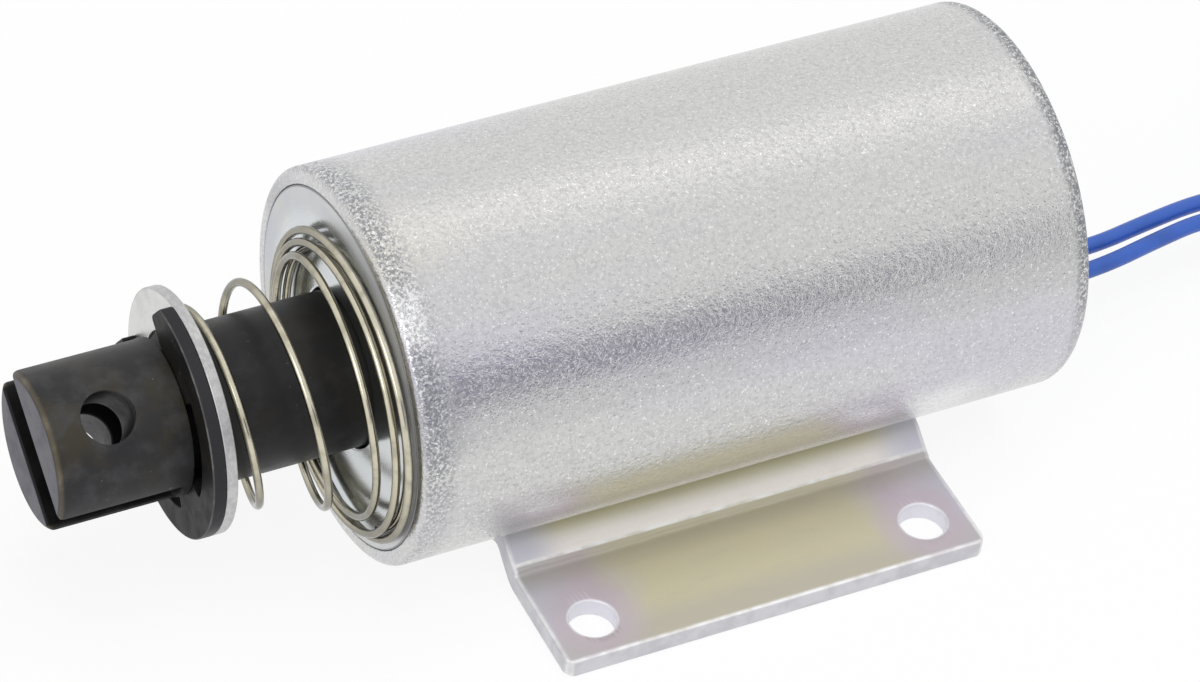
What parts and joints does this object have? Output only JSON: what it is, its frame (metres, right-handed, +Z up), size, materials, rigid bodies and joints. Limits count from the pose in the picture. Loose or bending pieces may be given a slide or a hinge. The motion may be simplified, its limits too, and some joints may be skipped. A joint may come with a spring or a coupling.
{
  "type": "push pull solenoid",
  "caption": "Tubular pull-in solenoid: slotted cross-drilled plunger with clip, washer and conical return spring, bent foot plate with bolt holes, two free leads.",
  "frame": {"origin": "centre of the foot's four bolt holes, on the underside of the foot", "axes": "+X along the plunger axis towards the leads, the slotted plunger end at -X; +Z up, away from the surface that the foot is bolted to"},
  "size_m": [0.1624, 0.056, 0.04],
  "materials": {
    "case_zinc": "bright zinc plating, fine grain",
    "plate_steel": "zinc plated, machined",
    "guide_brass": "drawn brass",
    "core_steel": "machined soft iron",
    "bobbin_plastic": "natural nylon",
    "winding_copper": "enamelled copper wire",
    "wrap_tape": "insulating tape",
    "insulating_board": "fibre board",
    "bush_rubber": "moulded rubber",
    "lead_insulation": "smooth insulation",
    "splice_tin": "tinned crimp",
    "foot_zinc": "iridescent zinc passivation",
    "spring_steel": "nickelled spring wire",
    "tinned_copper": "tinned strands",
    "washer_steel": "zinc plated",
    "plunger_black": "satin black finish",
    "clip_black": "phosphated spring steel"
  },
  "bodies": {
    "housing": {"case_tube": "case_zinc", "front_plate": "plate_steel", "rear_plate": "plate_steel", "guide_tube": "guide_brass", "fixed_core": "core_steel", "stop_shim": "guide_brass", "bobbin": "bobbin_plastic", "coil_winding": "winding_copper", "coil_wrap": "wrap_tape", "front_insulating_disc": "insulating_board", "rear_insulating_disc": "insulating_board", "lead_bush": "bush_rubber", "lead_1_tail": "lead_insulation", "splice_sleeve_1": "splice_tin", "lead_2_tail": "lead_insulation", "splice_sleeve_2": "splice_tin", "foot_plate": "foot_zinc", "return_spring": "spring_steel", "lead_1_coil": "lead_insulation", "lead_1": "lead_insulation", "lead_1_end": "lead_insulation", "tinned_end_1": "tinned_copper", "lead_2_coil": "lead_insulation", "lead_2": "lead_insulation", "lead_2_end": "lead_insulation", "tinned_end_2": "tinned_copper"},
    "spring_seat": {"spring_washer": "washer_steel"},
    "plunger": {"plunger": "plunger_black", "retaining_clip": "clip_black"}
  },
  "joints": [
    {"name": "plunger_slide", "type": "slide", "parent": "housing", "child": "spring_seat", "axis": [1, 0, 0], "range_m": [0, 0.012], "stiffness_N_per_m": 200, "springref_m": -0.002, "deforming": ["return_spring"]},
    {"name": "plunger_spin", "type": "hinge", "parent": "spring_seat", "child": "plunger", "pos_m": [-0.05, 0, 0.021], "axis": [1, 0, 0], "continuous": true}
  ]
}
